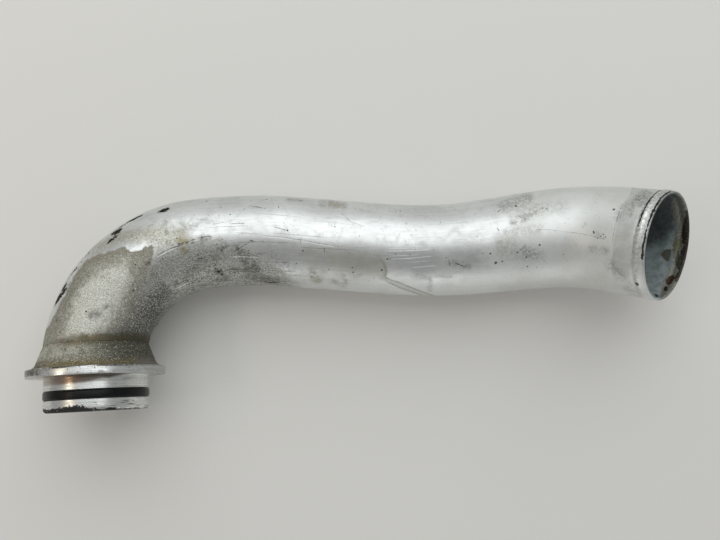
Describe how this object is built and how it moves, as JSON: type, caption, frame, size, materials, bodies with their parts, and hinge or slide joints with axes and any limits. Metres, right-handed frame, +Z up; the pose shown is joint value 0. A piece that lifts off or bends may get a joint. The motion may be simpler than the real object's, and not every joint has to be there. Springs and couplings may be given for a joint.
{
  "type": "charge air pipe",
  "caption": "Bent aluminium air pipe with a flanged plug end that carries a rubber seal ring and an opened hose end with a rolled bead.",
  "frame": {"origin": "middle of the bounding box on the surface that the pipe lies on, with the flange's rim, the elbow's side and the far side touching it", "axes": "+Z up, +X along the pipe from the elbow to the hose end, +Y away from the plug end"},
  "size_m": [0.393, 0.142, 0.0895],
  "materials": {
    "tube_aluminium": "worn satin, dirty",
    "turned_aluminium": "turned rings on the plug, rough dirty collar",
    "seal_rubber": "satin"
  },
  "bodies": {
    "root": {"pipe": "tube_aluminium", "flanged_spigot": "turned_aluminium", "o_ring": "seal_rubber"}
  },
  "joints": []
}
